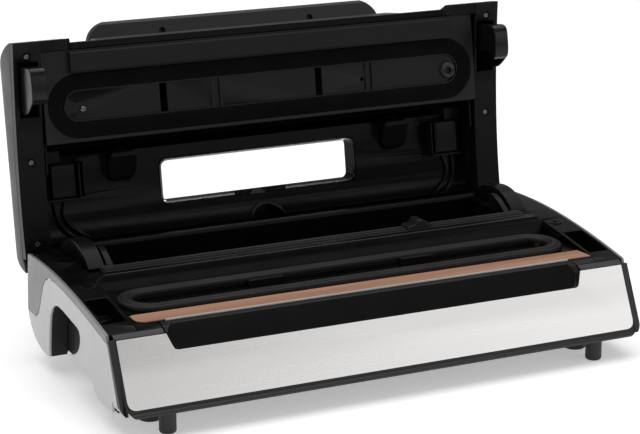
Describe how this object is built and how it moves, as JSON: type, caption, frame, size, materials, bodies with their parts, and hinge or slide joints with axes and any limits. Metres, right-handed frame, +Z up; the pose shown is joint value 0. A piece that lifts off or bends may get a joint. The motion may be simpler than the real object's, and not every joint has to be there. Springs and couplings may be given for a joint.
{
  "type": "vacuum sealer",
  "caption": "Countertop vacuum sealer with its lid open: steel front, silver sides, sealing bar, vacuum channel, roll trough, sliding cutter and a windowed lid with latch hooks.",
  "frame": {"origin": "centre of the overall box, on the floor plane under the feet, with the lid open", "axes": "+X to the right seen from the front, +Y to the back, +Z up"},
  "size_m": [0.4, 0.2799, 0.2264],
  "materials": {
    "black_plastic": "satin-gloss moulded black",
    "black_pan": "fine matt grain",
    "silver_cover": "satin silver paint",
    "grey_trim": "satin grey",
    "grey_shell": "satin warm grey",
    "dark_grey": "satin dark grey",
    "cutter_rail": "satin",
    "brushed_plate": "fine lengthwise brushing",
    "seal_tape": "streaked copper-coloured coated cloth tape",
    "heater_metal": "rolled strip",
    "gasket_rubber": "matt",
    "strip_rubber": "matt",
    "foot_rubber": "matt",
    "window_clear": "clear, polished",
    "screw_metal": "plated",
    "pin_metal": "ground",
    "port_plastic": "satin",
    "button_plastic": "satin light grey",
    "pump_metal": "die cast",
    "motor_steel": "plated can",
    "circuit_board": "solder-resist green",
    "hose_rubber": "matt"
  },
  "bodies": {
    "base": {"bottom_pan": "black_pan", "deck": "black_plastic", "side_cover_left": "silver_cover", "side_cover_right": "silver_cover", "side_trim_left": "grey_trim", "side_trim_right": "grey_trim", "grip_liner_left": "black_pan", "grip_liner_right": "black_pan", "front_bezel": "dark_grey", "front_plate": "brushed_plate", "front_ledge": "black_plastic", "seal_tape": "seal_tape", "heating_strip": "heater_metal", "lower_gasket": "gasket_rubber", "drip_tray": "black_plastic", "cutter_rail": "cutter_rail", "hinge_cover_left": "black_plastic", "hinge_cover_right": "black_plastic", "hinge_pin_left": "pin_metal", "hinge_pin_right": "pin_metal", "vacuum_pump": "pump_metal", "pump_motor": "motor_steel", "power_board": "circuit_board", "air_hose": "hose_rubber", "mains_inlet": "black_pan", "front_foot_left": "foot_rubber", "front_foot_right": "foot_rubber", "disc_foot_left": "foot_rubber", "disc_foot_right": "foot_rubber", "rear_foot_left": "foot_rubber", "rear_foot_right": "foot_rubber"},
    "cutter": {"cutter_slider": "dark_grey", "cutter_blade": "pin_metal"},
    "lid": {"lid_cover": "grey_shell", "lid_frame": "black_plastic", "gasket_plate": "black_plastic", "upper_gasket": "gasket_rubber", "pressure_strip": "strip_rubber", "cavity_liner": "black_plastic", "window_pane": "window_clear", "window_trim": "black_plastic", "air_port": "port_plastic", "control_panel": "black_plastic", "control_board": "circuit_board", "rail_screw_left_front": "screw_metal", "rail_screw_left_middle": "screw_metal", "rail_screw_left_rear": "screw_metal", "rail_screw_right_front": "screw_metal", "rail_screw_right_middle": "screw_metal", "rail_screw_right_rear": "screw_metal", "plate_screw": "screw_metal"},
    "handle": {"handle": "dark_grey"},
    "latch": {"hook_left": "dark_grey", "hook_right": "dark_grey", "latch_shaft": "pin_metal"},
    "button_1": {"button_1": "button_plastic"},
    "button_2": {"button_2": "button_plastic"},
    "button_3": {"button_3": "button_plastic"},
    "button_4": {"button_4": "button_plastic"}
  },
  "joints": [
    {"name": "lid_hinge", "type": "hinge", "parent": "base", "child": "lid", "pos_m": [0, 0.0486, 0.0677], "axis": [1, 0, 0], "range_deg": [0, 98.8]},
    {"name": "handle_turn", "type": "hinge", "parent": "lid", "child": "handle", "pos_m": [0, 0.12093, 0.17996], "axis": [1, 0, 0], "range_deg": [0, 13]},
    {"name": "latch_turn", "type": "hinge", "parent": "lid", "child": "latch", "pos_m": [0, 0.0846, 0.19368], "axis": [1, 0, 0], "range_deg": [0, 4.55]},
    {"name": "cutter_slide", "type": "slide", "parent": "base", "child": "cutter", "axis": [1, 0, 0], "range_m": [-0.213, 0.057]},
    {"name": "button_1_press", "type": "slide", "parent": "lid", "child": "button_1", "axis": [0, -0.9882, 0.153], "range_m": [0, 0.001], "stiffness_N_per_m": 300, "springref_m": -0.002},
    {"name": "button_2_press", "type": "slide", "parent": "lid", "child": "button_2", "axis": [0, -0.9882, 0.153], "range_m": [0, 0.001], "stiffness_N_per_m": 300, "springref_m": -0.002},
    {"name": "button_3_press", "type": "slide", "parent": "lid", "child": "button_3", "axis": [0, -0.9882, 0.153], "range_m": [0, 0.001], "stiffness_N_per_m": 300, "springref_m": -0.002},
    {"name": "button_4_press", "type": "slide", "parent": "lid", "child": "button_4", "axis": [0, -0.9882, 0.153], "range_m": [0, 0.001], "stiffness_N_per_m": 300, "springref_m": -0.002}
  ],
  "couplings": [
    {"joint": "latch_turn", "follows": "handle_turn", "ratio": 0.35}
  ]
}
